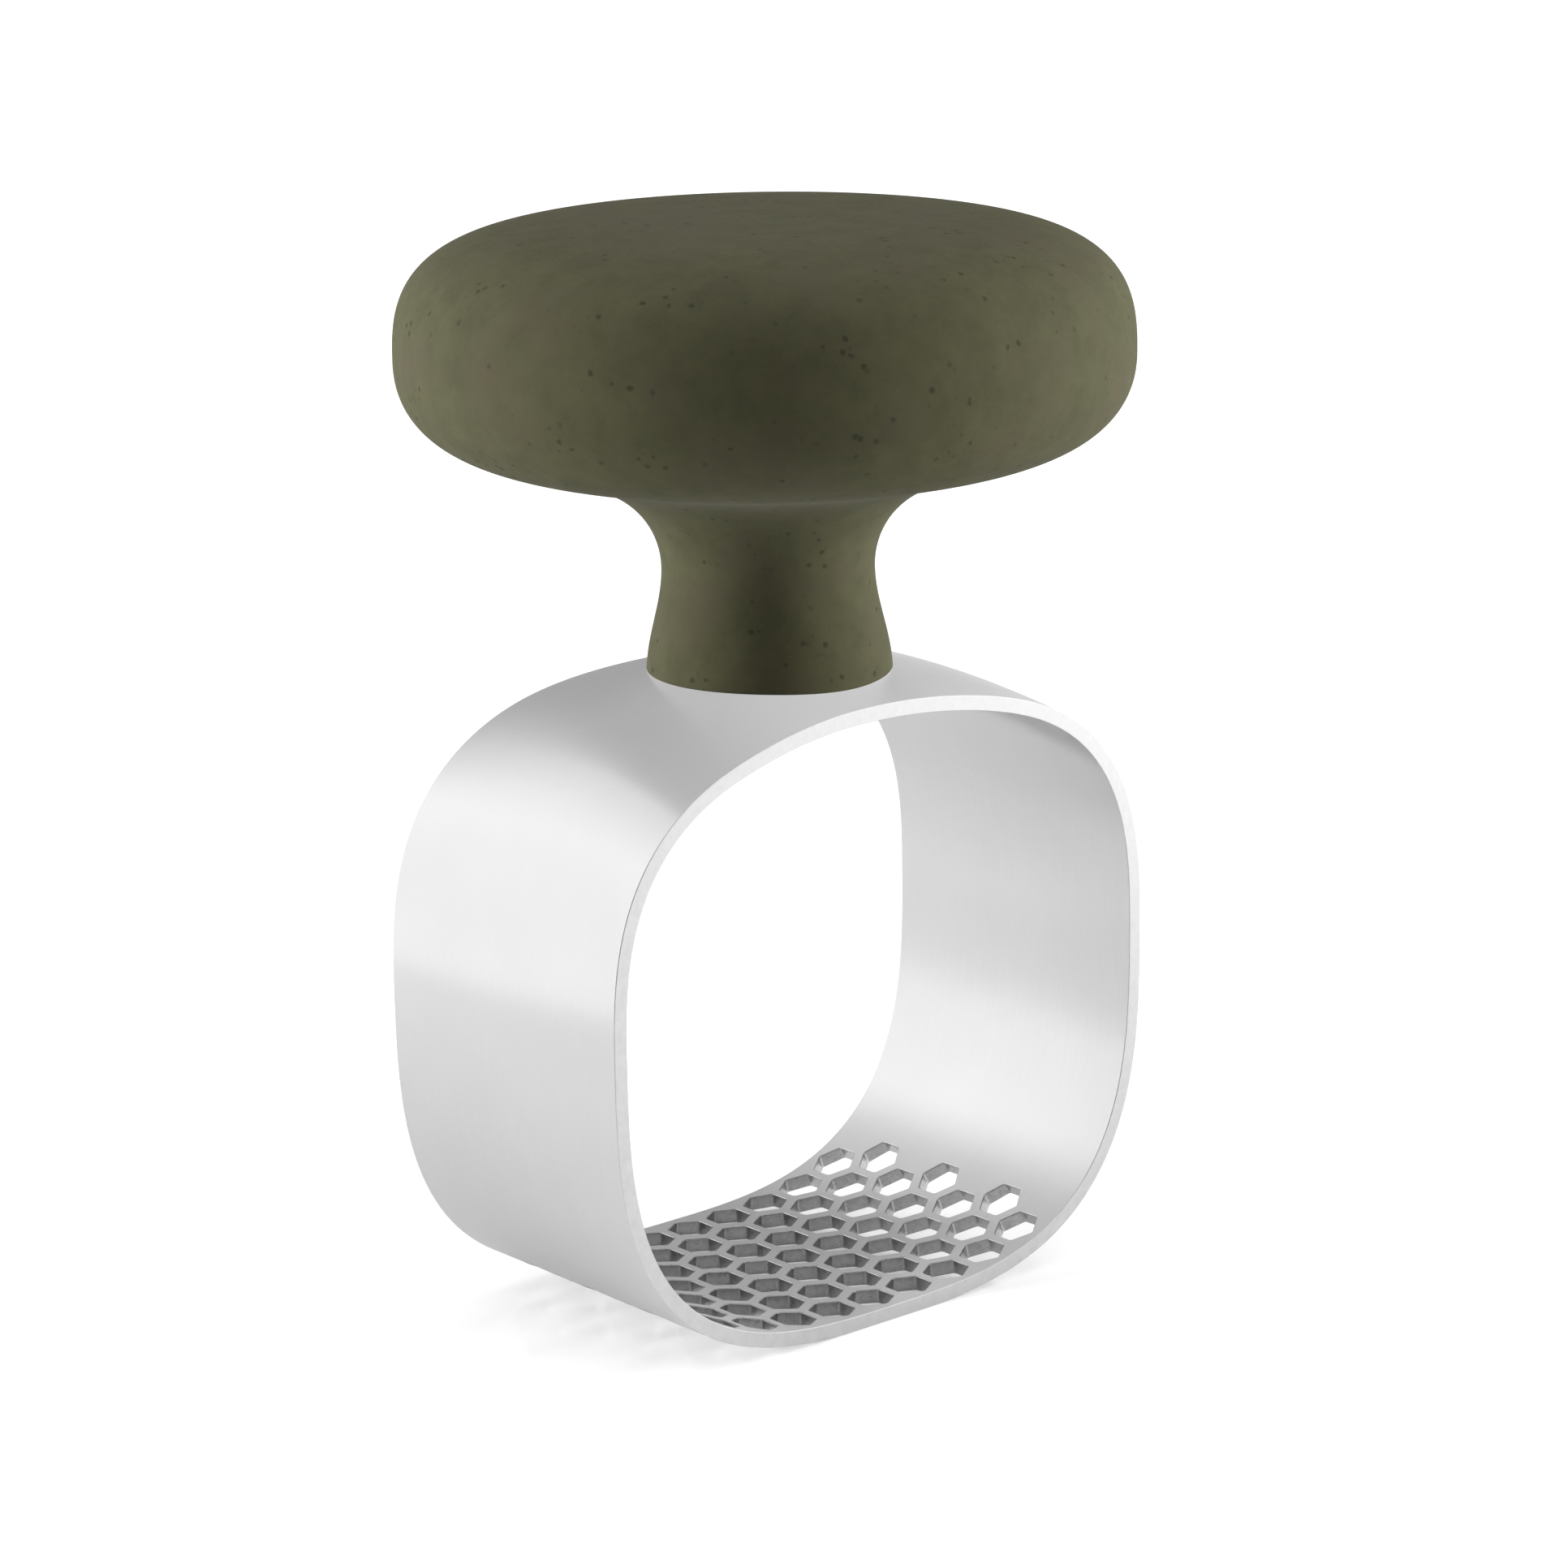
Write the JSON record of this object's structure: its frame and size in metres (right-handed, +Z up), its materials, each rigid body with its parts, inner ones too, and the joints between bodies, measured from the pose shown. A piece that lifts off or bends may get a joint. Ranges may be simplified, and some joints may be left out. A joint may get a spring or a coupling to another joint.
{
  "type": "garlic press",
  "caption": "Rocking garlic press: a rounded-square loop of brushed sheet steel with a honeycomb base, rocked by a round palm knob on a flared neck.",
  "frame": {"origin": "middle of the flat base, on the surface that the press stands on", "axes": "+Z up along the knob's axis, +X across the loop's opening, Y straight through the loop"},
  "size_m": [0.08, 0.0801, 0.12],
  "materials": {
    "steel": "stainless sheet, fine brushing along the strip, rims linished",
    "handle_green": "olive green, matt, finely speckled",
    "core_plastic": "natural dark grey moulding, hidden",
    "brass": "turned brass, hidden",
    "screw_steel": "bright stainless screws",
    "seal_rubber": "soft black silicone"
  },
  "bodies": {
    "root": {"press_band": "steel", "grip_skin": "handle_green", "core_lower": "core_plastic", "core_upper": "core_plastic", "threaded_inserts": "brass", "band_screws": "screw_steel", "sealing_washers": "seal_rubber"}
  },
  "joints": []
}
